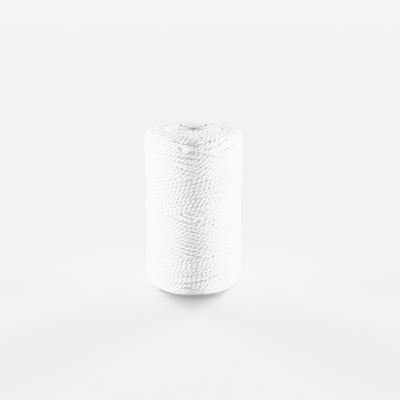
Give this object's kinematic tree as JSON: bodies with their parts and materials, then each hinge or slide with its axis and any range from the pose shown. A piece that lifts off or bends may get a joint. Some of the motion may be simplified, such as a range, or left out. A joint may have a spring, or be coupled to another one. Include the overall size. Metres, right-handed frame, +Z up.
{
  "type": "waxed thread spool",
  "caption": "Flangeless cop of white waxed thread, cross-wound in a cylinder with softly coned ends on a thin open paper tube, standing upright.",
  "frame": {"origin": "centre of the tube's lower end, on the surface that the spool stands on", "axes": "+Z up the tube's axis; both ends of the outer turns are tucked in on the +Y side, and the -Y side faces the picture's camera"},
  "size_m": [0.0284, 0.0285, 0.05],
  "materials": {
    "liner_paper": "white uncoated paper, matte",
    "tube_board": "grey board, cut edge, matte",
    "wrap_paper": "white smooth paper, matte",
    "waxed_thread": "white twisted three-ply thread with a soft wax sheen"
  },
  "bodies": {
    "root": {"tube_liner": "liner_paper", "tube_board": "tube_board", "tube_wrap": "wrap_paper", "winding_core": "waxed_thread", "outer_turns": "waxed_thread"}
  },
  "joints": []
}
